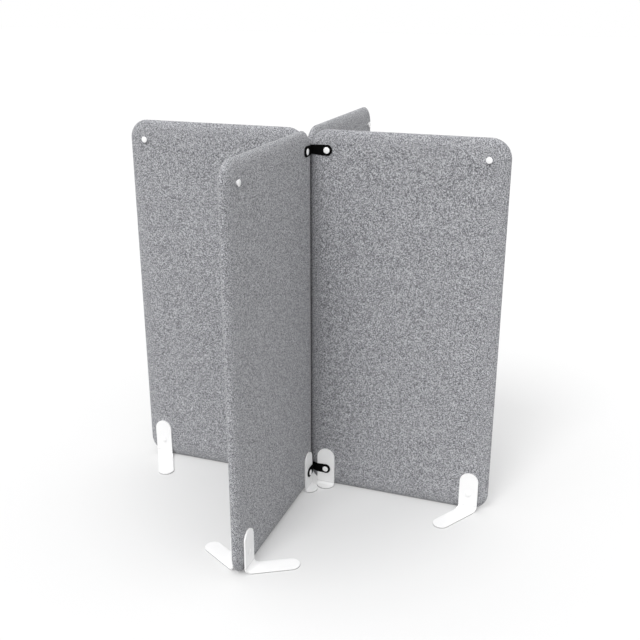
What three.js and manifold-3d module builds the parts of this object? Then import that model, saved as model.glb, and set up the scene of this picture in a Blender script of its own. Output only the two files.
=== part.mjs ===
// Acoustic divider screen: four upholstered screens standing in a cross.
// Each screen is a stiff board between two foam pads in a fabric cover with soft, crowned edges.
// White bolts go right through each screen near its corners. They hold bent steel feet at the
// bottom and black straps in the inner corners, and the straps join each screen to the next.
// Lengths are in millimetres. X points along the right screen, Y away from the front screen and
// Z up, and the origin is on the floor at the centre of the cross.

import * as THREE from 'three';
import { mergeVertices } from 'three/addons/utils/BufferGeometryUtils.js';
import Module from 'manifold-3d';

// One screen
const panelWidth = 760;
const panelHeight = 1499;
const panelThickness = 45;
const crownDepth = 60;
const faceCornerRadius = 15;
const centreGap = 8;
const floorClearance = 1;

// Its layers
const fabricThickness = 1;
const boardThickness = 16;

// The play left between pieces that rest on one another, and round what passes through a hole
const seatClearance = 0.3;
const holeClearance = 0.5;

// The bolts. A neck is as long as what it holds on the face, and a cap that holds nothing there
// flares all the way from the face.
const lowBoltZ = 79;
const shankRadius = 4;
const neckRadius = 6;
const capRadius = 12;
const capFlare = 1.5;
const bareCapFlare = 7.5;
const capRim = 1;
const capDome = 2.5;

// The feet, cut as a flat blank and bent once
const footWidth = 75;
const footHeight = 170;
const footThickness = 6;
const outerFoot = { reach: 168, lean: THREE.MathUtils.degToRad(30), bendRadius: 26 };
const innerFoot = { reach: 41, lean: 0, bendRadius: 16 };

// The straps
const strapFoldWidth = 35;
const strapThickness = 2.5;
const strapFold = 17.5;
const eyeletRadius = 20.5;
const eyeletThickness = 3.5;

// How finely the round forms are divided
const cornerSteps = 4;
const crownSteps = 4;
const footRoundSteps = 4;
const footBendSteps = 4;
const boltSides = 8;
const domeSteps = 2;
const eyeletSides = 16;
const tangentSteps = 80;

// What a cutting body runs past the body that it cuts
const cutOverrun = 2;

// Sizes that follow from those above
const quarterTurn = Math.PI / 2;
const panelCornerRadius = crownDepth + faceCornerRadius;
const boltInset = panelCornerRadius;
const faceOffset = panelThickness / 2;
const innerBoltX = centreGap + boltInset;
const outerBoltX = centreGap + panelWidth - boltInset;
const highBoltZ = floorClearance + panelHeight - boltInset;
const plateNeck = footThickness + seatClearance;
const strapNeck = eyeletThickness + seatClearance;

const wasm = await Module();
wasm.setup();

// Turns a closed geometry into a solid that can be joined and cut. Corners that meet are shared,
// and a triangle that has shrunk to a line, as at the pole of a lathed shape, is left out.
function toSolid(geometry) {
  const bare = geometry.clone();
  bare.deleteAttribute('normal');
  bare.deleteAttribute('uv');
  const merged = mergeVertices(bare);
  const corners = merged.index.array;
  const triangles = [];
  for (let first = 0; first < corners.length; first += 3) {
    const [a, b, c] = corners.slice(first, first + 3);
    if (a !== b && b !== c && c !== a) triangles.push(a, b, c);
  }
  return new wasm.Manifold(new wasm.Mesh({
    numProp: 3,
    vertProperties: new Float32Array(merged.attributes.position.array),
    triVerts: new Uint32Array(triangles),
  }));
}

function toGeometry(solid) {
  const { vertProperties, triVerts } = solid.getMesh();
  const geometry = new THREE.BufferGeometry();
  geometry.setAttribute('position', new THREE.BufferAttribute(vertProperties, 3));
  geometry.setIndex(new THREE.BufferAttribute(triVerts, 1));
  const faceted = geometry.toNonIndexed();
  faceted.computeVertexNormals();
  return faceted;
}

// The same solid on the other face of a screen, with its triangles turned to face outwards again.
function toOtherFace(geometry) {
  const mirrored = geometry.clone();
  const place = mirrored.attributes.position;
  for (let first = 0; first < place.count; first += 3) {
    const corners = [0, 2, 1].map((step) => (
      new THREE.Vector3().fromBufferAttribute(geometry.attributes.position, first + step)
    ));
    corners.forEach((corner, step) => place.setXYZ(first + step, corner.x, -corner.y, corner.z));
  }
  mirrored.computeVertexNormals();
  return mirrored;
}

// Skins a row of rings that hold the same number of points, and closes the first and the last.
// The rings run so that each, seen from the next, goes round anticlockwise.
function skinnedRings(rings) {
  const count = rings[0].length;
  const positions = rings.flat().flatMap((point) => [point.x, point.y, point.z]);
  const triangles = [];
  for (let ring = 0; ring + 1 < rings.length; ring++) {
    for (let step = 0; step < count; step++) {
      const next = (step + 1) % count;
      const [a, b] = [ring * count + step, ring * count + next];
      const [c, d] = [a + count, b + count];
      triangles.push(a, b, d, a, d, c);
    }
  }
  const last = (rings.length - 1) * count;
  for (let step = 1; step + 1 < count; step++) {
    triangles.push(0, step + 1, step, last, last + step, last + step + 1);
  }
  const geometry = new THREE.BufferGeometry();
  geometry.setAttribute('position', new THREE.Float32BufferAttribute(positions, 3));
  geometry.setIndex(triangles);
  return geometry;
}

// A screen's outline, drawn in by inset, at a distance across from the middle of its thickness.
function outlineRing(inset, across) {
  const radius = panelCornerRadius - inset;
  const near = panelCornerRadius;
  const farX = panelWidth - panelCornerRadius;
  const farZ = panelHeight - panelCornerRadius;
  const corners = [[near, near], [near, farZ], [farX, farZ], [farX, near]];
  return corners.flatMap(([x, z], corner) => {
    const points = [];
    for (let step = 0; step <= cornerSteps; step++) {
      const angle = -quarterTurn * (corner + 1 + step / cornerSteps);
      points.push(new THREE.Vector3(
        centreGap + x + radius * Math.cos(angle),
        across,
        floorClearance + z + radius * Math.sin(angle),
      ));
    }
    return points;
  });
}

// A screen's body, drawn in by inset all round. Its edge is half an ellipse: it starts at the
// outline in the middle of the thickness and reaches the flat face one crown depth further in.
function crownedBody(inset) {
  const rings = [];
  for (let step = -crownSteps; step <= crownSteps; step++) {
    const angle = quarterTurn * step / crownSteps;
    const drawnIn = inset + (crownDepth - inset) * (1 - Math.cos(angle));
    rings.push(outlineRing(drawnIn, (faceOffset - inset) * Math.sin(angle)));
  }
  return toSolid(skinnedRings(rings));
}

// A slab across the whole screen between two distances from the middle of its thickness.
function slab(from, to) {
  const length = panelWidth + 2 * cutOverrun;
  const height = panelHeight + 2 * cutOverrun;
  const box = new THREE.BoxGeometry(length, to - from, height);
  box.translate(centreGap + panelWidth / 2, (from + to) / 2, floorClearance + panelHeight / 2);
  return toSolid(box);
}

// A cylinder across a screen, as a drill would cut it, from one distance to another.
function drilled(x, z, radius, from, to, sides) {
  const cylinder = new THREE.CylinderGeometry(radius, radius, to - from, sides);
  cylinder.translate(x, (from + to) / 2, z);
  return toSolid(cylinder);
}

const boltPlaces = [
  { name: 'top_outer', x: outerBoltX, z: highBoltZ, neck: 0, flare: bareCapFlare },
  { name: 'top_inner', x: innerBoltX, z: highBoltZ, neck: strapNeck, flare: capFlare },
  { name: 'bottom_outer', x: outerBoltX, z: lowBoltZ, neck: plateNeck, flare: capFlare },
  { name: 'bottom_inner', x: innerBoltX, z: lowBoltZ, neck: plateNeck + strapNeck, flare: capFlare },
];

function withBoltHoles(solid) {
  const reach = faceOffset + cutOverrun;
  const radius = shankRadius + holeClearance;
  return boltPlaces.reduce(
    (body, place) => body.subtract(drilled(place.x, place.z, radius, -reach, reach, boltSides)),
    solid,
  );
}

function fabricCover() {
  const hollow = crownedBody(0).subtract(crownedBody(fabricThickness));
  return toGeometry(withBoltHoles(hollow));
}

const liningInset = fabricThickness + seatClearance;

function coreBoard() {
  const half = boardThickness / 2;
  return toGeometry(withBoltHoles(crownedBody(liningInset).intersect(slab(-half, half))));
}

function foamPad() {
  const back = boardThickness / 2 + seatClearance;
  const body = crownedBody(liningInset).intersect(slab(-faceOffset, -back));
  return toGeometry(withBoltHoles(body));
}

// One end of a bolt, from its shank out over the neck, the flare and the rim to the dome's top.
function boltEnd({ neck, flare }) {
  const base = faceOffset + seatClearance;
  const flareTop = base + neck + flare;
  const rimTop = flareTop + capRim;
  const profile = [
    new THREE.Vector2(shankRadius, base),
    new THREE.Vector2(neckRadius, base),
    ...(neck > 0 ? [new THREE.Vector2(neckRadius, base + neck)] : []),
    new THREE.Vector2(capRadius, flareTop),
    new THREE.Vector2(capRadius, rimTop),
  ];
  for (let step = 1; step < domeSteps; step++) {
    const angle = quarterTurn * step / domeSteps;
    profile.push(new THREE.Vector2(capRadius * Math.cos(angle), rimTop + capDome * Math.sin(angle)));
  }
  profile.push(new THREE.Vector2(0, rimTop + capDome));
  return profile;
}

function throughBolt(place) {
  const end = boltEnd(place);
  const otherEnd = end.map((point) => new THREE.Vector2(point.x, -point.y)).reverse();
  const bolt = new THREE.LatheGeometry([...otherEnd, ...end], boltSides);
  bolt.translate(place.x, 0, place.z);
  return toGeometry(toSolid(bolt));
}

// A foot is worked out flat and then bent. The blank starts at its round top and runs straight
// down into the bend. Where the leg's straight edges would meet the screen's face, it turns to
// lean towards the centre of the cross, to its round tip. Along is the distance down the middle
// of the blank's thickness.
function footBlank({ reach, lean, bendRadius }) {
  const half = footWidth / 2;
  const bendStart = footHeight - bendRadius;
  const bendEnd = bendStart + quarterTurn * (bendRadius - footThickness / 2);
  const leanStart = bendEnd - bendRadius;
  const tip = leanStart + reach;
  const tipRadius = half * Math.cos(lean);
  const tipCentre = tip - tipRadius;
  const middle = (along) => Math.max(along - leanStart, 0) * Math.tan(lean);
  const tipHalf = (along) => Math.sqrt(Math.max(tipRadius ** 2 - (along - tipCentre) ** 2, 0));

  const edges = (along) => {
    if (along < half) {
      const width = Math.sqrt(Math.max(half ** 2 - (half - along) ** 2, 0));
      return [-width, width];
    }
    const swing = tipRadius * Math.sin(lean);
    const low = along < tipCentre + swing ? middle(along) - half : middle(tipCentre) - tipHalf(along);
    const high = along < tipCentre - swing ? middle(along) + half : middle(tipCentre) + tipHalf(along);
    return [low, high];
  };

  const stations = [];
  for (let step = 0; step <= footRoundSteps; step++) {
    stations.push(half * (1 - Math.cos(quarterTurn * step / footRoundSteps)));
    stations.push(tipCentre + tipRadius * Math.sin(lean + (quarterTurn - lean) * step / footRoundSteps));
  }
  for (let step = 0; step <= footBendSteps; step++) {
    stations.push(bendStart + (bendEnd - bendStart) * step / footBendSteps);
  }
  if (lean > 0) stations.push(leanStart, tipCentre - tipRadius * Math.sin(lean), tipCentre);
  stations.sort((a, b) => a - b);
  return { edges, stations, bendStart, bendEnd, bendRadius };
}

// Where a point of the blank goes when it is bent: out from the upright's back, and up.
function bentPlace(blank, along, depth) {
  if (along <= blank.bendStart) return [depth, footHeight - along];
  if (along >= blank.bendEnd) return [blank.bendRadius + along - blank.bendEnd, depth];
  const angle = quarterTurn * (along - blank.bendStart) / (blank.bendEnd - blank.bendStart);
  const radius = blank.bendRadius - depth;
  return [blank.bendRadius - radius * Math.cos(angle), blank.bendRadius - radius * Math.sin(angle)];
}

function bentFoot(boltX, form) {
  const blank = footBlank(form);
  const place = (across, along, depth) => {
    const [out, up] = bentPlace(blank, along, depth);
    return new THREE.Vector3(boltX - across, -(faceOffset + seatClearance + out), up);
  };
  const rings = blank.stations.map((along) => {
    const [low, high] = blank.edges(along);
    return [
      place(low, along, 0),
      place(low, along, footThickness),
      place(high, along, footThickness),
      place(high, along, 0),
    ];
  });
  const back = -(faceOffset + footThickness + cutOverrun);
  const hole = drilled(boltX, lowBoltZ, neckRadius + holeClearance, back, -faceOffset, boltSides);
  return toGeometry(toSolid(skinnedRings(rings)).subtract(hole));
}

// The middle line of a strap on one screen, from its bolt to the fold, seen from above. A strap on
// the bare screen is taut over the crowned edge and leaves it where the straight run to the fold
// is tangent to it. A strap on a foot runs straight from the foot's edge to the fold.
function strapRun(standOff, onFoot) {
  const middle = faceOffset + seatClearance + standOff + strapThickness / 2;
  const fold = new THREE.Vector2(strapFold, -strapFold);
  const run = [new THREE.Vector2(innerBoltX, -middle)];
  if (onFoot) {
    run.push(new THREE.Vector2(innerBoltX - footWidth / 2 - strapThickness / 2, -middle));
    return [...run, fold];
  }
  const offset = seatClearance + strapThickness / 2;
  for (let step = 0; step < tangentSteps; step++) {
    const angle = quarterTurn * (1 - step / tangentSteps);
    const tangent = new THREE.Vector2(-crownDepth * Math.sin(angle), faceOffset * Math.cos(angle));
    const normal = new THREE.Vector2(-tangent.y, tangent.x).normalize();
    const point = new THREE.Vector2(
      centreGap + crownDepth * (1 - Math.cos(angle)),
      -faceOffset * Math.sin(angle),
    ).addScaledVector(normal, offset);
    if (tangent.cross(fold.clone().sub(point)) >= 0) {
      run.push(point);
      break;
    }
    if (step % (tangentSteps / crownSteps) === 0) run.push(point);
  }
  return [...run, fold];
}

// The two sides of a ribbon of even thickness along a line, with mitred corners.
function ribbonSides(line) {
  const side = (sign) => line.map((point, index) => {
    const before = line[Math.max(index - 1, 0)];
    const after = line[Math.min(index + 1, line.length - 1)];
    const first = (index > 0 ? point.clone().sub(before) : after.clone().sub(point)).normalize();
    const second = (index + 1 < line.length ? after.clone().sub(point) : first.clone()).normalize();
    const normal = new THREE.Vector2(-first.y - second.y, first.x + second.x).normalize();
    const stretch = normal.dot(new THREE.Vector2(-first.y, first.x));
    return point.clone().addScaledVector(normal, sign * strapThickness / 2 / stretch);
  });
  return [side(1), side(-1)];
}

// A band along a line. It is as wide as an eyelet at its two ends and narrows evenly to the fold
// half way.
function taperedBand(line, z) {
  const [outer, inner] = ribbonSides(line);
  const along = [0];
  for (let index = 1; index < line.length; index++) {
    along.push(along[index - 1] + line[index].distanceTo(line[index - 1]));
  }
  const toFold = along.at(-1) / 2;
  return toSolid(skinnedRings(line.map((_, index) => {
    const foldShare = 1 - Math.abs(along[index] - toFold) / toFold;
    const half = THREE.MathUtils.lerp(eyeletRadius, strapFoldWidth / 2, foldShare);
    return [
      new THREE.Vector3(inner[index].x, inner[index].y, z + half),
      new THREE.Vector3(inner[index].x, inner[index].y, z - half),
      new THREE.Vector3(outer[index].x, outer[index].y, z - half),
      new THREE.Vector3(outer[index].x, outer[index].y, z + half),
    ];
  })));
}

// A strap in the corner between the screen along X and the one along minus Y. The two halves
// mirror each other in the corner's diagonal.
function cornerStrap(z, standOff, onFoot) {
  const run = strapRun(standOff, onFoot);
  const mirrored = run.slice(0, -1).map((point) => new THREE.Vector2(-point.y, -point.x));
  const band = taperedBand([...run, ...mirrored.reverse()], z);
  const back = faceOffset + seatClearance + standOff;
  const holeRadius = neckRadius + holeClearance;
  const halves = [
    drilled(innerBoltX, z, eyeletRadius, -back - eyeletThickness, -back, eyeletSides),
    drilled(innerBoltX, z, holeRadius, -back - eyeletThickness - cutOverrun, cutOverrun - back, boltSides),
  ];
  const onNextScreen = halves.map((solid) => {
    const turned = toOtherFace(toGeometry(solid));
    turned.rotateZ(-quarterTurn);
    return toSolid(turned);
  });
  const [eyelet, hole] = halves;
  const [nextEyelet, nextHole] = onNextScreen;
  return toGeometry(band.add(eyelet).add(nextEyelet).subtract(hole).subtract(nextHole));
}

// The finishes
const finishes = {
  fabric: { color: 0x9a9b9f, roughness: 0.95, metalness: 0 },
  foam: { color: 0xe3dfd2, roughness: 1, metalness: 0 },
  board: { color: 0xb79a6d, roughness: 0.8, metalness: 0 },
  whiteSteel: { color: 0xf2f2f2, roughness: 0.45, metalness: 0 },
  whiteCap: { color: 0xf6f6f6, roughness: 0.35, metalness: 0 },
  blackStrap: { color: 0x0b0b0c, roughness: 0.6, metalness: 0 },
};

function namedMesh(name, geometry, finish) {
  const mesh = new THREE.Mesh(geometry, new THREE.MeshStandardMaterial(finishes[finish]));
  mesh.name = name;
  return mesh;
}

// Each screen and the turn that takes it from X to its own direction. Going clockwise from above,
// a strap joins it to the next screen. Its faces are named by the way that they look.
const screens = [
  { name: 'right', turn: 0, clockwiseFace: 'front', otherFace: 'back', corner: 'front_right' },
  { name: 'back', turn: quarterTurn, clockwiseFace: 'right', otherFace: 'left', corner: 'back_right' },
  { name: 'left', turn: 2 * quarterTurn, clockwiseFace: 'back', otherFace: 'front', corner: 'back_left' },
  { name: 'front', turn: -quarterTurn, clockwiseFace: 'left', otherFace: 'right', corner: 'front_left' },
];

const cover = fabricCover();
const board = coreBoard();
const foam = foamPad();
const outerPlate = bentFoot(outerBoltX, outerFoot);
const innerPlate = bentFoot(innerBoltX, innerFoot);
const bolts = boltPlaces.map((place) => ({ name: place.name, geometry: throughBolt(place) }));
const topStrap = cornerStrap(highBoltZ, 0, false);
const bottomStrap = cornerStrap(lowBoltZ, footThickness + seatClearance, true);

const acousticScreen = new THREE.Group();
acousticScreen.name = 'acoustic_screen';

for (const { name, turn, clockwiseFace, otherFace, corner } of screens) {
  const screen = new THREE.Group();
  screen.name = `${name}_screen`;
  screen.rotation.z = turn;
  screen.add(namedMesh(`${name}_fabric_cover`, cover, 'fabric'));
  screen.add(namedMesh(`${name}_core_board`, board, 'board'));
  const faces = [[clockwiseFace, (shape) => shape], [otherFace, toOtherFace]];
  for (const [face, placed] of faces) {
    screen.add(namedMesh(`${name}_foam_pad_${face}`, placed(foam), 'foam'));
    screen.add(namedMesh(`${name}_outer_foot_${face}`, placed(outerPlate), 'whiteSteel'));
    screen.add(namedMesh(`${name}_inner_foot_${face}`, placed(innerPlate), 'whiteSteel'));
  }
  for (const bolt of bolts) {
    screen.add(namedMesh(`${name}_bolt_${bolt.name}`, bolt.geometry, 'whiteCap'));
  }
  screen.add(namedMesh(`${corner}_strap_top`, topStrap, 'blackStrap'));
  screen.add(namedMesh(`${corner}_strap_bottom`, bottomStrap, 'blackStrap'));
  acousticScreen.add(screen);
}

export default acousticScreen;
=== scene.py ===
import bmesh
import bpy
import numpy as np
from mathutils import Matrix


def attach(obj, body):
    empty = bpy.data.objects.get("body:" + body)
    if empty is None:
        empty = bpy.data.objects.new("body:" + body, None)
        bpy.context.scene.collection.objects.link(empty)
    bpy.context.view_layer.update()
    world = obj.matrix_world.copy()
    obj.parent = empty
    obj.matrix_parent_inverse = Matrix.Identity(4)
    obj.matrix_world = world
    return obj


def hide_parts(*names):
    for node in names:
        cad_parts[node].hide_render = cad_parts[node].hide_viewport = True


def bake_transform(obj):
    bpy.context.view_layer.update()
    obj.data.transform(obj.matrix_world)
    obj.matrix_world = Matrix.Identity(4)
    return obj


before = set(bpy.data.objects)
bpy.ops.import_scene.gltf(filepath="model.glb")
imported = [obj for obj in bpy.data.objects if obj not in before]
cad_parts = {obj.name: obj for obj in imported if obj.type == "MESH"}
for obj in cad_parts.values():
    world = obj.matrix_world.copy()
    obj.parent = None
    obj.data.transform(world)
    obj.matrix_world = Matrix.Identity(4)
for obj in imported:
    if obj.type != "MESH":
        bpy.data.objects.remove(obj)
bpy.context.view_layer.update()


# Fabric covers
# Each screen is upholstered in one skin of grey melange wool cloth, closed out of sight. It is
# pulled tight over the foam's crowned edges, with a shallow dimple where a bolt clamps it.

screen_width = 0.760
screen_height = 1.499
screen_thickness = 0.045
crown_depth = 0.060
corner_radius = 0.075
centre_gap = 0.008
floor_clearance = 0.001
low_bolt = 0.079
dimple_radius = 0.016
bolt_surround = 0.030
weld_reach = 2e-6
collapse_reach = 1e-6

quarter_turns = {"right": 0, "back": 1, "left": 2, "front": 3}
clockwise_face = {"right": "front", "back": "right", "left": "back", "front": "left"}
other_face = {"right": "back", "back": "left", "left": "front", "front": "right"}


def on_screen(points, side, mirrored=False):
    """Pieces are worked out on the right screen's front face. The mirror in the screen's middle
    plane takes y to minus y, and each quarter turn about the centre takes (x, y) to (-y, x)."""
    x, y, z = np.asarray(points, dtype=float).reshape(-1, 3).T
    if mirrored:
        y = -y
    for _ in range(quarter_turns[side]):
        x, y = -y, x
    return np.stack((x, y, z), axis=1)


def grid_faces(numbers):
    """The quads of a grid of point numbers: entry (i, j) with its neighbours along both axes."""
    corners = (numbers[:-1, :-1], numbers[1:, :-1], numbers[1:, 1:], numbers[:-1, 1:])
    return np.stack(corners, axis=-1).reshape(-1, 4)


def joined_grids(grids):
    """Several grids of points as one list of points and one list of quads."""
    points = np.concatenate([grid.reshape(-1, 3) for grid in grids])
    faces, first = [], 0
    for grid in grids:
        count = grid[..., 0].size
        faces.append(grid_faces(first + np.arange(count).reshape(grid.shape[:2])))
        first += count
    return points, np.concatenate(faces)


def closed_mesh(name, points, faces, plan=None):
    """One named mesh with its object at the origin. Points that meet are merged, collapsed quads
    go, and the faces are turned outwards. A plan gives each point's place on the flat cloth."""
    mesh = bpy.data.meshes.new(name)
    mesh.from_pydata(np.asarray(points).tolist(), [], np.asarray(faces).tolist())
    if plan is not None:
        corner_points = np.empty(len(mesh.loops), dtype=np.int32)
        mesh.loops.foreach_get("vertex_index", corner_points)
        layer = mesh.uv_layers.new(name="cloth")
        layer.data.foreach_set("uv", np.asarray(plan)[corner_points].astype(np.float32).ravel())
    shape = bmesh.new()
    shape.from_mesh(mesh)
    bmesh.ops.remove_doubles(shape, verts=shape.verts, dist=weld_reach)
    bmesh.ops.dissolve_degenerate(shape, edges=shape.edges, dist=collapse_reach)
    bmesh.ops.recalc_face_normals(shape, faces=shape.faces)
    for face in shape.faces:
        face.smooth = True
    shape.to_mesh(mesh)
    shape.free()
    piece = bpy.data.objects.new(name, mesh)
    bpy.context.scene.collection.objects.link(piece)
    return piece


def spread(length, fine_reach, fine_step, coarse_count):
    """Places from 0 to length, fine near both ends, where the bolts are, and coarse between."""
    fine = np.arange(0, fine_reach, fine_step)
    middle = np.linspace(fine_reach, length - fine_reach, coarse_count)
    return np.concatenate((fine, middle, (length - fine)[::-1]))


def outline_walk(along_x, along_z, corner_steps):
    """The rectangle through the four bolts, walked round once: each place's base point on it, and
    the direction straight out from there. At a corner the base stays and the direction turns."""
    width, height = along_x[-1], along_z[-1]
    bases, directions = [], []
    runs = (
        (along_x, 0 * along_x, -90), (width + 0 * along_z, along_z, 0),
        (along_x[::-1], height + 0 * along_x, 90), (0 * along_z, along_z[::-1], 180),
    )
    for x, z, heading in runs:
        turn = np.radians(heading + np.linspace(0, 90, corner_steps + 1)[1:-1])
        angle = np.concatenate((np.full(len(x), np.radians(heading)), turn))
        bases.append(np.stack((np.append(x, np.full(len(turn), x[-1])),
                               np.append(z, np.full(len(turn), z[-1]))), axis=1))
        directions.append(np.stack((np.cos(angle), np.sin(angle)), axis=1))
    bases, directions = np.concatenate(bases), np.concatenate(directions)
    return np.append(bases, bases[:1], axis=0), np.append(directions, directions[:1], axis=0)


def crowned_side(draw_ins, height_at, dimple_depth, fine_step, coarse_counts, corner_steps):
    """One side of a screen as a band and a field. Band point (s, j) is the base point of place j
    plus (corner radius - s) times its direction. The field is the flat rectangle between the
    bolts. The distance from the middle plane is height_at(s), less a bell-shaped dimple, depth
    times exp(-(distance from the bolt / radius) squared), at each bolt. The plan lays the skin
    flat: from the field outwards it runs for the length of the curve that height_at draws."""
    along_x = spread(screen_width - 2 * corner_radius, bolt_surround, fine_step, coarse_counts[0])
    along_z = spread(screen_height - 2 * corner_radius, bolt_surround, fine_step, coarse_counts[1])
    bases, directions = outline_walk(along_x, along_z, corner_steps)
    reach = (corner_radius - draw_ins)[:, None, None]
    band = bases[None] + reach * directions[None]
    field = np.stack(np.meshgrid(along_x, along_z, indexing="ij"), axis=-1)
    band_size, field_size = band[..., 0].size, field[..., 0].size
    inset = np.append(np.repeat(draw_ins, len(bases)), np.full(field_size, corner_radius))
    height = height_at(inset)
    flat = np.concatenate((band.reshape(-1, 2), field.reshape(-1, 2)))
    low, high = low_bolt - floor_clearance - corner_radius, along_z[-1]
    for bolt in np.array(((0, low), (along_x[-1], low), (0, high), (along_x[-1], high))):
        distance = np.hypot(*(flat - bolt).T)
        height = height - dimple_depth * np.exp(-(distance / dimple_radius) ** 2)
    points = np.stack((
        centre_gap + corner_radius + flat[:, 0],
        -height,
        floor_clearance + corner_radius + flat[:, 1],
    ), axis=1)
    band_numbers = np.arange(band_size).reshape(band.shape[:2])
    field_numbers = band_size + np.arange(field_size).reshape(field.shape[:2])
    faces = np.concatenate((grid_faces(band_numbers), grid_faces(field_numbers)))
    draw = np.linspace(0, draw_ins[-1], num=4000)
    steps = np.hypot(np.diff(draw), np.diff(height_at(draw)))
    skin = steps.sum() - np.append(0, np.cumsum(steps))
    skin_reach = np.interp(draw_ins, draw, skin)[:, None, None]
    band_plan = bases[None] + skin_reach * directions[None]
    plan = np.concatenate((band_plan.reshape(-1, 2), field.reshape(-1, 2)))
    return points, faces, plan


def crown(inset):
    """Half of an ellipse: half thickness times sqrt(1 - (1 - inset / crown depth) squared)."""
    share = np.clip(1 - inset / crown_depth, 0, 1)
    return screen_thickness / 2 * np.sqrt(1 - share ** 2)


def shader_of(name, **sockets):
    """A new material, its node tree and its shader, whose own sockets take the given values."""
    material = bpy.data.materials.new(name)
    material.use_nodes = True
    shader = material.node_tree.nodes["Principled BSDF"]
    for socket, value in sockets.items():
        shader.inputs[socket.replace("_", " ")].default_value = value
    return material, material.node_tree, shader


def node(tree, kind, settings=(), **inputs):
    """Adds a node, sets its own options, and sets or links its input sockets by name or number."""
    added = tree.nodes.new(kind)
    for option, value in dict(settings).items():
        setattr(added, option, value)
    for socket, value in inputs.items():
        target = added.inputs[int(socket[1:]) if socket[1:].isdigit() else socket.replace("_", " ")]
        if isinstance(value, bpy.types.NodeSocket):
            tree.links.new(value, target)
        else:
            target.default_value = value
    return added


def ramp(tree, amount, stops):
    """A colour ramp over amount, through (place, grey or colour) stops."""
    added = node(tree, "ShaderNodeValToRGB", Fac=amount)
    elements = added.color_ramp.elements
    while len(elements) < len(stops):
        elements.new(0.5)
    for element, (place, colour) in zip(elements, stops):
        element.position = place
        element.color = (colour, colour, colour, 1) if np.isscalar(colour) else (*colour, 1)
    return added.outputs["Color"]


# The cloth is carded from light and dark wool before it is spun, so its colour is flecked from
# fibre to fibre, over a fine plain weave with a short nap.
cloth, tree, shader = shader_of("grey_melange_cloth", Roughness=0.92, Sheen_Weight=0.18,
                                Sheen_Roughness=0.55, Specular_IOR_Level=0.15)
place = node(tree, "ShaderNodeTexCoord").outputs
flecks = node(tree, "ShaderNodeTexNoise", Vector=place["Object"], Scale=330.0, Detail=2.0,
              Roughness=0.6)
fibres = node(tree, "ShaderNodeTexNoise", Vector=place["Object"], Scale=780.0, Detail=2.0,
              Roughness=0.7)
mixed = node(tree, "ShaderNodeMath", {"operation": "MULTIPLY_ADD"},
             _0=fibres.outputs[0], _1=0.30, _2=flecks.outputs[0])
tone = ramp(tree, mixed.outputs[0], (
    (0.49, (0.072, 0.074, 0.082)), (0.65, (0.276, 0.279, 0.295)), (0.79, (0.650, 0.655, 0.680)),
))
tree.links.new(tone, shader.inputs["Base Color"])
threads = [
    node(tree, "ShaderNodeTexWave", {"bands_direction": run}, Vector=place["UV"], Scale=170.0,
         Distortion=0.6, Detail=1.0).outputs["Fac"]
    for run in ("X", "Y")
]
weave = node(tree, "ShaderNodeMath", {"operation": "MULTIPLY"}, _0=threads[0], _1=threads[1])
nap = node(tree, "ShaderNodeMath", {"operation": "MULTIPLY_ADD"},
           _0=fibres.outputs[0], _1=1.2, _2=weave.outputs[0])
relief = node(tree, "ShaderNodeBump", Strength=0.35, Distance=0.0006, Height=nap.outputs[0])
tree.links.new(relief.outputs[0], shader.inputs["Normal"])

crown_angles = np.radians(np.linspace(0, 90, 21))
cover_draw_ins = np.append(crown_depth * (1 - np.cos(crown_angles)),
                           np.linspace(crown_depth, corner_radius, 7)[1:])
face_points, face_quads, face_plan = crowned_side(
    cover_draw_ins, crown, dimple_depth=0.0011, fine_step=0.0025, coarse_counts=(26, 44),
    corner_steps=18,
)
cover_points = np.concatenate((face_points, face_points * (1, -1, 1)))
cover_quads = np.concatenate((face_quads, face_quads + len(face_points)))
cover_plan = np.concatenate((face_plan, face_plan))

for side in quarter_turns:
    cover = closed_mesh(f"{side}_cloth_cover", on_screen(cover_points, side), cover_quads,
                        cover_plan)
    cover.data.materials.append(cloth)
    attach(cover, f"{side}_screen")
    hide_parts(f"{side}_fabric_cover")


# Core boards
# A wood-fibre board in the middle of each screen keeps it flat and gives the bolts something to
# clamp. It is the CAD board as it is, sawn and left raw, and the cover hides it.

raw_board, tree, shader = shader_of("raw_fibre_board", Roughness=0.8, Specular_IOR_Level=0.2)
place = node(tree, "ShaderNodeTexCoord").outputs
chips = node(tree, "ShaderNodeTexNoise", Vector=place["Object"], Scale=90.0, Detail=5.0,
             Roughness=0.7)
tone = ramp(tree, chips.outputs[0], (
    (0.3, (0.30, 0.19, 0.09)), (0.55, (0.47, 0.33, 0.18)), (0.8, (0.60, 0.46, 0.28)),
))
tree.links.new(tone, shader.inputs["Base Color"])
grain = node(tree, "ShaderNodeBump", Strength=0.3, Distance=0.0005, Height=chips.outputs[0])
tree.links.new(grain.outputs[0], shader.inputs["Normal"])

for side in quarter_turns:
    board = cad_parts[f"{side}_core_board"]
    board.data.materials.clear()
    board.data.materials.append(raw_board)


# Foam pads
# Two pads of off-white wadding lie on the board, one on each face, cut flat at the back and
# pressed round at the edges. They give the screen its soft crown and soak up the sound.

lining = 0.0013
pad_back = 0.0083


def pad_crown(inset):
    """The cover's ellipse drawn in by the lining, never nearer the middle than the pad's back."""
    share = np.clip((crown_depth - inset) / (crown_depth - lining), 0, 1)
    return np.maximum((screen_thickness / 2 - lining) * np.sqrt(1 - share ** 2), pad_back)


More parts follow.
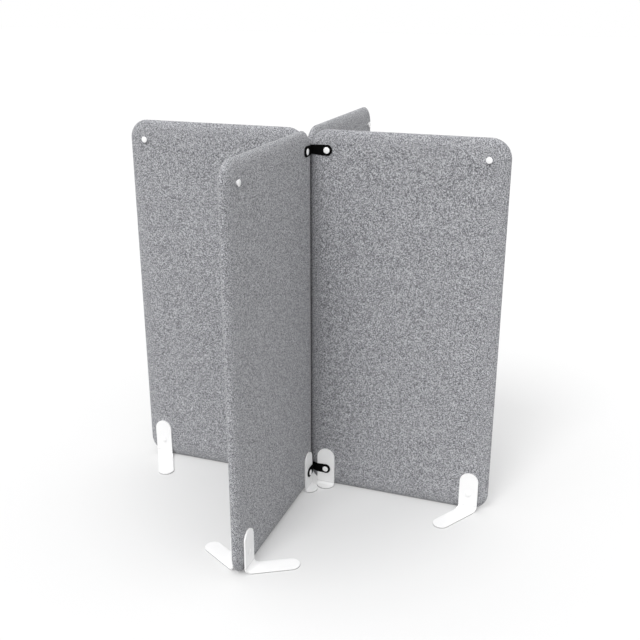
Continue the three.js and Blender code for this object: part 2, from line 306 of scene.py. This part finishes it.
wadding, tree, shader = shader_of("off_white_wadding", Roughness=1.0, Specular_IOR_Level=0.05)
place = node(tree, "ShaderNodeTexCoord").outputs
tufts = node(tree, "ShaderNodeTexNoise", Vector=place["Object"], Scale=240.0, Detail=4.0,
             Roughness=0.65)
tone = ramp(tree, tufts.outputs[0], ((0.3, (0.62, 0.59, 0.52)), (0.7, (0.82, 0.80, 0.73))))
tree.links.new(tone, shader.inputs["Base Color"])
pile = node(tree, "ShaderNodeBump", Strength=0.6, Distance=0.001, Height=tufts.outputs[0])
tree.links.new(pile.outputs[0], shader.inputs["Normal"])

# A pad's crown starts on its flat back, so its outermost row lies on the back exactly.
start_share = np.sqrt(1 - (pad_back / (screen_thickness / 2 - lining)) ** 2)
pad_angles = np.linspace(np.arccos(start_share), np.pi / 2, 9)
pad_draw_ins = np.append(crown_depth - (crown_depth - lining) * np.cos(pad_angles),
                         np.linspace(crown_depth, corner_radius, 5)[1:])
pad_points, pad_quads, _ = crowned_side(
    pad_draw_ins, pad_crown, dimple_depth=0.0016, fine_step=0.006, coarse_counts=(14, 26),
    corner_steps=10,
)
pad_rear = pad_points.copy()
pad_rear[:, 1] = -pad_back
pad_edge = np.isclose(pad_points[:, 1], pad_points[0, 1], atol=1e-5)
pad_points[pad_edge, 1] = -pad_back
pad_points = np.concatenate((pad_points, pad_rear))
pad_quads = np.concatenate((pad_quads, pad_quads + len(pad_rear)))

for side in quarter_turns:
    for face, mirrored in ((clockwise_face[side], False), (other_face[side], True)):
        pad = closed_mesh(f"{side}_wadding_{face}", on_screen(pad_points, side, mirrored),
                          pad_quads)
        pad.data.materials.append(wadding)
        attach(pad, f"{side}_screen")
        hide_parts(f"{side}_foam_pad_{face}")


# Feet
# The feet are laser-cut from 6 mm steel, bent once, deburred and powder coated white. The outer
# foot's leg leans 30 degrees towards the centre, so that the screen can't tip, and the inner foot
# stops at a half-round toe to leave room for its neighbours.

foot_width = 0.075
foot_height = 0.170
foot_thickness = 0.006
kink_radius = 0.003
press_depth = 0.0010
press_reach = 0.0014
closest_rows = 0.00045
edge_ease = 0.0007
edge_angle = np.radians(50)
seat_gap = 0.0003
neck_hole = 0.0065
bolt_high = floor_clearance + screen_height - corner_radius
bolt_inner = centre_gap + corner_radius
bolt_outer = centre_gap + screen_width - corner_radius
# For each kind of foot: its bolts' x, its reach from the screen's face, its lean, and the radius
# on the outside of its bend.
foot_kinds = {
    "outer": (bolt_outer, 0.168, np.radians(30), 0.026),
    "inner": (bolt_inner, 0.041, 0.0, 0.016),
}


def foot_blank(reach, lean, bend_radius):
    """The flat blank: the rows above and below the bolt's hole, the function that gives a row's
    two ends, the hole's place, and where the bend starts and ends. A row's ends are the round top,
    half width times sqrt(1 - (1 - along / half width) squared), then the straight edges. From the
    lean's start the edges lean by tan(lean), eased over the kink, up to a round tip with radius
    half width times cos(lean)."""
    half = foot_width / 2
    bend_start = foot_height - bend_radius
    bend_end = bend_start + np.pi / 2 * (bend_radius - foot_thickness / 2)
    lean_start = bend_end - bend_radius
    tip_radius = half * np.cos(lean)
    tip_centre = lean_start + reach - tip_radius
    hole = foot_height - low_bolt
    middle_of_tip = np.tan(lean) * (tip_centre - lean_start)
    swing = tip_radius * np.sin(lean)

    def edges(along):
        top = np.sqrt(np.clip(half ** 2 - np.clip(half - along, 0, None) ** 2, 0, None))
        middle = np.tan(lean) * (along - lean_start + np.hypot(along - lean_start, kink_radius)) / 2
        middle = np.where(along > hole + half, middle, 0)
        arc = np.sqrt(np.clip(tip_radius ** 2 - (along - tip_centre) ** 2, 0, None))
        low = np.where(along < tip_centre + swing, middle - top, middle_of_tip - arc)
        high = np.where(along < tip_centre - swing, middle + top, middle_of_tip + arc)
        return low, high

    top_rows = half * (1 - np.cos(np.linspace(0, np.pi / 2, 15)))
    lower = np.concatenate((
        np.linspace(hole + half, bend_start, 7)[1:],
        bend_start + np.array((-press_reach, press_reach)),
        np.linspace(bend_start, bend_end, 17)[1:],
        lean_start + np.linspace(-2 * kink_radius, 2 * kink_radius, 5) if lean else (),
        np.linspace(bend_end, max(tip_centre - swing, bend_end), 14)[1:-1],
        tip_centre + tip_radius * np.sin(np.linspace(-lean, np.pi / 2, 19)),
    ))
    lower = np.sort(lower[lower > hole + half])
    apart = np.diff(lower, prepend=0) > closest_rows
    lower = lower[apart | (lower > bend_end + closest_rows)]
    upper = np.append(top_rows, np.linspace(half, hole - half, 5)[1:])
    return upper, np.append(hole + half, lower), edges, hole, (bend_start, bend_end)


def bent(along, bend, bend_radius):
    """Bends the blank: its upright stays against the screen, the bend turns evenly by a quarter
    on its outer radius, and the leg lies on the floor. Gives the way out from the screen and the
    height of each place along it."""
    bend_start, bend_end = bend
    angle = np.pi / 2 * np.clip((along - bend_start) / (bend_end - bend_start), 0, 1)
    beyond = np.clip(along - bend_end, 0, None)
    out = bend_radius * (1 - np.cos(angle)) + beyond
    up = np.where(along < bend_start, foot_height - along, bend_radius * (1 - np.sin(angle)))
    return out, up


def foot_skin(reach, lean, bend_radius):
    """The side of the foot that lies on the screen and the floor, as three patches on the blank:
    rows above the hole, rows below it, and between them a square whose rings shrink evenly from
    its outline to the round hole."""
    upper, lower, edges, hole, bend = foot_blank(reach, lean, bend_radius)
    half = foot_width / 2
    columns = np.linspace(-1, 1, 17)
    patches = []
    for rows in (upper, lower):
        low, high = edges(rows)
        across = (low + high)[:, None] / 2 + (high - low)[:, None] / 2 * columns
        patches.append((across, np.repeat(rows[:, None], len(columns), axis=1)))
    run = columns[:-1]
    ones = np.ones_like(run)
    square = np.stack((np.concatenate((run, ones, -run, -ones, [-1.0])),
                       np.concatenate((-ones, run, ones, -run, [-1.0]))))
    angle = np.arctan2(square[1], square[0])
    circle = np.stack((np.cos(angle), np.sin(angle))) * neck_hole
    shrink = (np.linspace(0, 1, 9) ** 1.5)[:, None]
    patches.append((circle[0] + (square[0] * half - circle[0]) * shrink,
                    circle[1] + (square[1] * half - circle[1]) * shrink + hole))
    grids = []
    for across, along in patches:
        out, up = bent(along, bend, bend_radius)
        grids.append(np.stack((-across, -(screen_thickness / 2 + seat_gap + out), up), axis=-1))
    return joined_grids(grids)


# The coat has a fine orange peel. Painted shade greys it on the line across the bend where the
# bend starts, which the mesh marks in a point attribute, and a painted contact shadow greys the
# bottom few millimetres of each foot, where a sole's cut edge meets the floor.
powder_coat, tree, shader = shader_of("white_powder_coat", Roughness=0.42, Specular_IOR_Level=0.45)
place = node(tree, "ShaderNodeTexCoord").outputs
peel = node(tree, "ShaderNodeTexNoise", Vector=place["Object"], Scale=900.0, Detail=2.0,
            Roughness=0.5)
cloud = node(tree, "ShaderNodeTexNoise", Vector=place["Object"], Scale=14.0, Detail=3.0,
             Roughness=0.5)
tone = ramp(tree, cloud.outputs[0], ((0.3, (0.945, 0.945, 0.945)), (0.7, (0.975, 0.975, 0.973))))
# Painted shade on the bend line: the attribute is 1 there and 0 elsewhere.
bend_shade = node(tree, "ShaderNodeAttribute", {"attribute_name": "bend_line_shade"}).outputs["Fac"]
height = node(tree, "ShaderNodeSeparateXYZ", Vector=place["Object"]).outputs["Z"]
# Painted contact shadow: the coat greys below 3.4 mm above the floor, fully below 1.6 mm.
contact_shade = node(tree, "ShaderNodeMapRange", Value=height, From_Min=0.0016, From_Max=0.0034,
               To_Min=1.0, To_Max=0.0)
painted_shade = node(tree, "ShaderNodeMath", {"operation": "MULTIPLY_ADD"},
            _0=bend_shade, _1=0.6, _2=contact_shade.outputs[0])
# Both painted shades pull the coat's tone towards dark grey.
shaded_tone = node(tree, "ShaderNodeMix", {"data_type": "RGBA"},
              _0=painted_shade.outputs[0], _6=tone, _7=(0.25, 0.25, 0.25, 1))
tree.links.new(shaded_tone.outputs[2], shader.inputs["Base Color"])
gloss = node(tree, "ShaderNodeMapRange", Value=peel.outputs[0], To_Min=0.36, To_Max=0.48)
tree.links.new(gloss.outputs[0], shader.inputs["Roughness"])
orange_peel = node(tree, "ShaderNodeBump", Strength=0.12, Distance=0.0002, Height=peel.outputs[0])
tree.links.new(orange_peel.outputs[0], shader.inputs["Normal"])


def plate(name, points, faces, side, mirrored, bend_height):
    """A steel plate: the skin faces the screen and gets the sheet's thickness away from it, a
    little less on the line that the press leaves where the bend starts, and the cut edges are
    eased by a small bevel."""
    piece = closed_mesh(name, on_screen(points, side, mirrored), faces)
    mesh = piece.data
    shape = bmesh.new()
    shape.from_mesh(mesh)
    away = on_screen([(0, -1, 0)], side, mirrored)[0]
    top_face = max(shape.faces, key=lambda face: face.calc_center_median().z)
    if np.dot(top_face.normal, away) > 0:
        bmesh.ops.reverse_faces(shape, faces=shape.faces)
    shape.to_mesh(mesh)
    shape.free()
    places = np.empty(len(mesh.vertices) * 3)
    mesh.vertices.foreach_get("co", places)
    on_mark = np.isclose(places[2::3], bend_height, atol=1e-6)
    # The points on the bend line carry the attribute that greys the coat there with painted shade.
    mark = mesh.attributes.new("bend_line_shade", "FLOAT", "POINT")
    mark.data.foreach_set("value", on_mark.astype(np.float32))
    full = piece.vertex_groups.new(name="full_thickness")
    full.add(np.flatnonzero(~on_mark).tolist(), 1.0, "REPLACE")
    full.add(np.flatnonzero(on_mark).tolist(), 1 - press_depth / foot_thickness, "REPLACE")
    sheet = piece.modifiers.new("sheet", "SOLIDIFY")
    sheet.thickness = foot_thickness
    sheet.offset = -1
    sheet.vertex_group = full.name
    eased = piece.modifiers.new("eased edges", "BEVEL")
    eased.width = edge_ease
    eased.segments = 2
    eased.limit_method = "ANGLE"
    eased.angle_limit = edge_angle
    return piece


for side in quarter_turns:
    for face, mirrored in ((clockwise_face[side], False), (other_face[side], True)):
        for kind, (x, reach, lean, bend_radius) in foot_kinds.items():
            points, faces = foot_skin(reach, lean, bend_radius)
            foot = plate(f"{side}_{kind}_plate_{face}", points + (x, 0, 0), faces,
                         side, mirrored, bend_radius)
            foot.data.materials.append(powder_coat)
            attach(foot, f"{side}_screen")
            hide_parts(f"{side}_{kind}_foot_{face}")


# Bolts
# A threaded sleeve runs through each screen, and a moulded white cap screws onto it from either
# face. The cap is a shallow mushroom on a narrow neck, which carries a foot, a strap or both.

cap_radius = 0.0120
neck_radius = 0.0060
shank_radius = 0.0040
rim_radius = 0.0009
dome_rise = 0.0017
dome_dip = 0.0001
cone_dip = 0.0006
neck_sink = 0.001
eyelet_thickness = 0.0035
plate_neck = foot_thickness + seat_gap
# For each place of a bolt: its x and z, how much its neck carries, and its cone's height.
bolt_places = {
    "top_outer": (bolt_outer, bolt_high, 0, 0.0075),
    "top_inner": (bolt_inner, bolt_high, eyelet_thickness + seat_gap, 0.0015),
    "bottom_outer": (bolt_outer, low_bolt, plate_neck, 0.0015),
    "bottom_inner": (bolt_inner, low_bolt, plate_neck + eyelet_thickness + seat_gap, 0.0015),
}
around = np.linspace(0, 2 * np.pi, 49)


def cap_profile(neck, cone_height):
    """The cap's radius and distance from the middle plane: a straight neck that starts a little
    inside the screen, a cone that opens evenly up to the rim, a rounded rim, and a dome that rises
    as the cosine of the radius."""
    under = screen_thickness / 2 + seat_gap + neck
    cone = np.linspace(0, 1, 9)
    rim = np.radians(np.linspace(-90, 60, 9))
    dome = np.linspace(1, 0, 10)[1:]
    radius = np.concatenate((
        [neck_radius], neck_radius + (cap_radius - rim_radius - neck_radius) * cone,
        cap_radius - rim_radius + rim_radius * np.cos(rim),
        (cap_radius - rim_radius / 2) * dome,
    ))
    top = under + cone_height + 2 * rim_radius
    out = np.concatenate((
        [screen_thickness / 2 - neck_sink], under - cone_dip + (cone_height + cone_dip) * cone,
        under + cone_height + rim_radius + rim_radius * np.sin(rim),
        top - dome_dip + dome_rise * np.cos(dome * np.pi / 2),
    ))
    return radius, out


def turned(x, z, radius, out):
    """A profile turned about a bolt's line at (x, z): rings of the given radii, each its own way
    out from the screen's middle plane."""
    return np.stack((
        x + radius[:, None] * np.cos(around), np.repeat(-out[:, None], len(around), axis=1),
        z + radius[:, None] * np.sin(around),
    ), axis=-1)


cap_moulding, tree, shader = shader_of("white_cap_moulding", Roughness=0.3, Specular_IOR_Level=0.5)
place = node(tree, "ShaderNodeTexCoord").outputs
haze = node(tree, "ShaderNodeTexNoise", Vector=place["Object"], Scale=60.0, Detail=3.0)
tone = ramp(tree, haze.outputs[0], ((0.3, (0.950, 0.950, 0.950)), (0.7, (0.975, 0.975, 0.973))))
tree.links.new(tone, shader.inputs["Base Color"])
rub = node(tree, "ShaderNodeMapRange", Value=haze.outputs[0], To_Min=0.24, To_Max=0.38)
tree.links.new(rub.outputs[0], shader.inputs["Roughness"])

for side in quarter_turns:
    for kind, (x, z, neck, cone_height) in bolt_places.items():
        radius, out = cap_profile(neck, cone_height)
        radius = np.concatenate((radius[::-1], np.full(2, shank_radius), radius))
        out = np.concatenate((-out[::-1], (-out[0], out[0]), out))
        points, quads = joined_grids([turned(x, z, radius, out)])
        bolt = closed_mesh(f"{side}_capped_bolt_{kind}", on_screen(points, side), quads)
        bolt.data.materials.append(cap_moulding)
        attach(bolt, f"{side}_screen")
        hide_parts(f"{side}_bolt_{kind}")


# Straps
# Black moulded straps tie each screen to its neighbours. Each end is a round eyelet that hangs on
# a bolt's neck, and the band narrows from there to 35 mm at the fold in the corner. The strap lies
# on the crowned edge, or on the inner foot at the bottom. Two corners' straps are whole, one piece
# from screen to screen. The other two corners' are halves, one on each screen, that meet in the
# fold.

strap_fold_width = 0.035
strap_thickness = 0.0025
eyelet_radius = 0.0205
eyelet_edge = 0.0012
eyelet_back_ease = 0.0002
hole_ease = (0.0004, 0.0005)
fold_place = 0.0175
fold_radius = 0.0022
half_overlap = 2.5 * fold_radius
band_start = 0.0070
band_straight = 0.0025
band_root = 0.0010
band_flat = 0.0001
plate_gap = 0.0012
arc_step = 0.15


def rounded_route(corners, radius):
    """A line through corners, each replaced by the arc of that radius that touches both runs. The
    arc starts radius times tan(half the turn) before the corner and turns from one run's direction
    to the other's."""
    route = [corners[0]]
    for before, corner, after in zip(corners[:-2], corners[1:-1], corners[2:]):
        arrive, leave = corner - before, after - corner
        arrive, leave = arrive / np.hypot(*arrive), leave / np.hypot(*leave)
        turn = np.arctan2(arrive[0] * leave[1] - arrive[1] * leave[0], arrive @ leave)
        setback = radius * np.tan(abs(turn) / 2)
        begin = corner - arrive * setback
        centre = begin + np.sign(turn) * radius * np.array((-arrive[1], arrive[0]))
        x, y = begin - centre
        for angle in np.linspace(0, turn, max(int(abs(turn) / arc_step), 2)):
            cosine, sine = np.cos(angle), np.sin(angle)
            route.append(centre + np.array((cosine * x - sine * y, sine * x + cosine * y)))
    route.append(corners[-1])
    return np.array(route)


def strap_corners(on_foot):
    """The strap's middle line on one screen in plan, from its bolt to the fold. On the bare screen
    it follows the crown's ellipse, set off along its normal, up to the place where the tangent
    points at the fold. On the foot it runs straight from the plate's edge."""
    fold = np.array((fold_place, -fold_place))
    middle = screen_thickness / 2 + seat_gap + strap_thickness / 2
    if on_foot:
        middle += foot_thickness + seat_gap
    start_x = bolt_inner - band_start
    start = np.array(((start_x, -middle), (start_x - band_straight, -middle)))
    if on_foot:
        plate_end = (bolt_inner - foot_width / 2 - plate_gap, -middle)
        return np.concatenate((start, (plate_end, fold)))
    angle = np.radians(np.linspace(90, 5, num=300))
    point = np.stack((centre_gap + crown_depth * (1 - np.cos(angle)),
                      -screen_thickness / 2 * np.sin(angle)), axis=1)
    tangent = np.stack((-crown_depth * np.sin(angle), screen_thickness / 2 * np.cos(angle)), axis=1)
    normal = np.stack((-tangent[:, 1], tangent[:, 0]), axis=1) / np.hypot(*tangent.T)[:, None]
    point = point + (seat_gap + strap_thickness / 2) * normal
    ahead = fold - point
    touches = np.argmax(tangent[:, 0] * ahead[:, 1] - tangent[:, 1] * ahead[:, 0] >= 0)
    steps = np.unique(np.linspace(0, touches, 12).astype(int))
    return np.concatenate((start, point[steps], fold[None]))


def strap_band(route, z):
    """A band whose section, a rounded rectangle of width by thickness, is carried along the route:
    each section point is set off along the route's normal and up from its middle. Its width goes
    evenly from the eyelet's to the fold's. The ends are closed, and the end inside an eyelet is
    no wider than the eyelet is there."""
    ahead = np.gradient(route, axis=0)
    ahead = ahead / np.hypot(*ahead.T)[:, None]
    normal = np.stack((-ahead[:, 1], ahead[:, 0]), axis=1)
    edge = strap_thickness / 2 - band_flat
    turn = np.radians(np.linspace(0, 90, 5))
    corner_out, corner_up = band_flat + edge * np.sin(turn), edge * np.cos(turn)
    to_fold = np.hypot(*(route - (fold_place, -fold_place)).T)
    fold_half = strap_fold_width / 2
    half_width = fold_half + (eyelet_radius - fold_half) * to_fold / to_fold[0]
    root_half = np.sqrt(eyelet_radius ** 2 - band_start ** 2)
    half_width = np.where(to_fold > to_fold[0] - band_root, root_half, half_width)
    tall_half = (half_width - edge)[:, None]
    out = np.concatenate((corner_out, corner_out[::-1], -corner_out, -corner_out[::-1],
                          corner_out[:1]))
    top_edge = tall_half + corner_up
    up = np.concatenate((top_edge, -top_edge[:, ::-1], -top_edge, top_edge[:, ::-1],
                         top_edge[:, :1]), axis=1)
    wall = np.stack((
        route[:, None, 0] + normal[:, None, 0] * out, route[:, None, 1] + normal[:, None, 1] * out,
        z + up,
    ), axis=-1)
    middle = np.stack((route[:, 0], route[:, 1], np.full(len(route), z)), axis=1)
    first = np.repeat(middle[:1, None], wall.shape[1], axis=1)
    last = np.repeat(middle[-1:, None], wall.shape[1], axis=1)
    return np.concatenate((first, wall, last))


def eyelet(z, back):
    """A ring turned about the bolt, as thick as an eyelet from its back: its section goes from the
    hole to the rim, whose outer edge is a quarter round, and on to the hole's eased edge."""
    turn = np.radians(np.linspace(0, 90, 5))
    radius = np.concatenate((
        [neck_hole, eyelet_radius - eyelet_back_ease],
        eyelet_radius - eyelet_edge + eyelet_edge * np.cos(turn),
        [neck_hole + hole_ease[0], neck_hole, neck_hole],
    ))
    depth = np.concatenate((
        [0, 0],
        eyelet_thickness - eyelet_edge + eyelet_edge * np.sin(turn),
        [eyelet_thickness, eyelet_thickness - hole_ease[1], 0],
    ))
    return turned(bolt_inner, z, radius, back + depth)


strap_black, tree, shader = shader_of("black_strap_moulding", Roughness=0.7,
                                      Specular_IOR_Level=0.04)
place = node(tree, "ShaderNodeTexCoord").outputs
skin = node(tree, "ShaderNodeTexNoise", Vector=place["Object"], Scale=1400.0, Detail=2.0)
tone = ramp(tree, skin.outputs[0], ((0.3, 0.0015), (0.7, 0.003)))
tree.links.new(tone, shader.inputs["Base Color"])
fine_grain = node(tree, "ShaderNodeBump", Strength=0.2, Distance=0.0002, Height=skin.outputs[0])
tree.links.new(fine_grain.outputs[0], shader.inputs["Normal"])


def across_corner(grid):
    """The mirror in the corner's diagonal takes (x, y) to (-y, -x), onto the next screen."""
    x, y, z = np.moveaxis(grid, -1, 0)
    return np.stack((-y, -x, z), axis=-1)


def strap_parts(level):
    """A strap's shells, as grids of points: the whole band from screen to screen, the first
    screen's half of it, cut off just past the fold, and the first screen's eyelet."""
    z = bolt_high if level == "top" else low_bolt
    back = screen_thickness / 2 + seat_gap + (0 if level == "top" else foot_thickness + seat_gap)
    corners = strap_corners(level == "bottom")
    mirrored = np.stack((-corners[::-1, 1], -corners[::-1, 0]), axis=1)
    smooth = rounded_route(np.concatenate((corners, mirrored[1:])), fold_radius)
    near_fold = np.hypot(*(smooth - corners[-1]).T) < half_overlap
    past_fold = np.flatnonzero(near_fold)[-1] + 1
    return strap_band(smooth, z), strap_band(smooth[:past_fold], z), eyelet(z, back)


def strap_piece(name, grids, side):
    """One object of several closed shells that overlap, each a grid of points."""
    points, faces = joined_grids(grids)
    piece = closed_mesh(name, on_screen(points, side), faces)
    piece.data.materials.append(strap_black)
    return piece


corners_of = {
    "front_right": ("right", "front"), "back_right": ("back", "right"),
    "back_left": ("left", "back"), "front_left": ("front", "left"),
}
for corner, (side, next_side) in corners_of.items():
    for level in ("top", "bottom"):
        whole, half, ring = strap_parts(level)
        node_name = f"{corner}_strap_{level}"
        if "right" in (side, next_side):
            strap = strap_piece(f"{corner}_{level}_band", (whole, ring, across_corner(ring)), side)
            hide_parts(node_name)
            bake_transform(strap)
            continue
        halves = {side: (half, ring), next_side: (across_corner(half), across_corner(ring))}
        for rider, grids in halves.items():
            strap = strap_piece(f"{corner}_{level}_band_{rider}", grids, side)
            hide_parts(node_name)
            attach(strap, f"{rider}_screen")


# Studio
# The set is a plain pale floor under an even white sky. A broad soft lamp hangs overhead and a
# narrower one stands high in front, a little to the left. The camera stands where the photograph
# was taken.


def seen_rays(tree):
    """1 for rays that the camera, a glossy or a clear surface sees, and 0 for the others."""
    rays = node(tree, "ShaderNodeLightPath").outputs
    mirrored = node(tree, "ShaderNodeMath", {"operation": "ADD"},
                    _0=rays["Is Glossy Ray"], _1=rays["Is Transmission Ray"])
    return node(tree, "ShaderNodeMath", {"operation": "ADD", "use_clamp": True},
                _0=rays["Is Camera Ray"], _1=mirrored.outputs[0]).outputs[0]


# The photograph's shadows on the floor are lighter than these lamps make them, so the paint glows
# a little. The glow goes by distance from the centre, is even beyond 1 m, and is there only for
# rays that are seen, so that it lights nothing.
floor_paint, tree, shader = shader_of("pale_floor", Base_Color=(0.56, 0.56, 0.56, 1), Roughness=1.0,
                                      Specular_IOR_Level=0.0, Emission_Color=(1, 1, 1, 1))
place = node(tree, "ShaderNodeTexCoord").outputs
from_centre = node(tree, "ShaderNodeVectorMath", {"operation": "LENGTH"}, _0=place["Object"])
glow = ramp(tree, from_centre.outputs["Value"], (
    (0.03, 0.375), (0.13, 0.215), (0.38, 0.190), (0.60, 0.218), (0.80, 0.260), (1.00, 0.280),
))
lift = node(tree, "ShaderNodeMath", {"operation": "MULTIPLY"}, _0=seen_rays(tree), _1=glow)
tree.links.new(lift.outputs[0], shader.inputs["Emission Strength"])

floor_reach = 40
floor_mesh = bpy.data.meshes.new("studio_floor")
floor_corners = [(-floor_reach, -floor_reach, 0), (floor_reach, -floor_reach, 0),
                 (floor_reach, floor_reach, 0), (-floor_reach, floor_reach, 0)]
floor_mesh.from_pydata(floor_corners, [], [(0, 1, 2, 3)])
floor_mesh.materials.append(floor_paint)
floor = bpy.data.objects.new("studio_floor", floor_mesh)
bpy.context.scene.collection.objects.link(floor)

sky = bpy.data.worlds.new("studio_sky")
bpy.context.scene.world = sky
sky.use_nodes = True
tree = sky.node_tree
tree.nodes["Background"].inputs["Color"].default_value = (1, 1, 1, 1)
brightness = node(tree, "ShaderNodeMapRange", Value=seen_rays(tree), To_Min=0.65, To_Max=1.0)
tree.links.new(brightness.outputs[0], tree.nodes["Background"].inputs["Strength"])

for lamp_name, energy, angle, turn in (
    ("overhead_key", 1.25, 90, (12, 0, 0)),
    ("front_fill", 1.3, 20, (43, 0, -8)),
):
    lamp_data = bpy.data.lights.new(lamp_name, "SUN")
    lamp_data.energy = energy
    lamp_data.angle = np.radians(angle)
    lamp = bpy.data.objects.new(lamp_name, lamp_data)
    lamp.rotation_euler = np.radians(turn)
    bpy.context.scene.collection.objects.link(lamp)

camera_data = bpy.data.cameras.new("photo_camera")
camera_data.sensor_width = 36
camera_data.lens = 50.96
camera = bpy.data.objects.new("photo_camera", camera_data)
camera.location = (1.2244, -3.2345, 1.9890)
camera.rotation_euler = np.radians((69.99, 0, 20.005))
bpy.context.scene.collection.objects.link(camera)
bpy.context.scene.camera = camera
bpy.context.scene.view_settings.view_transform = "Standard"
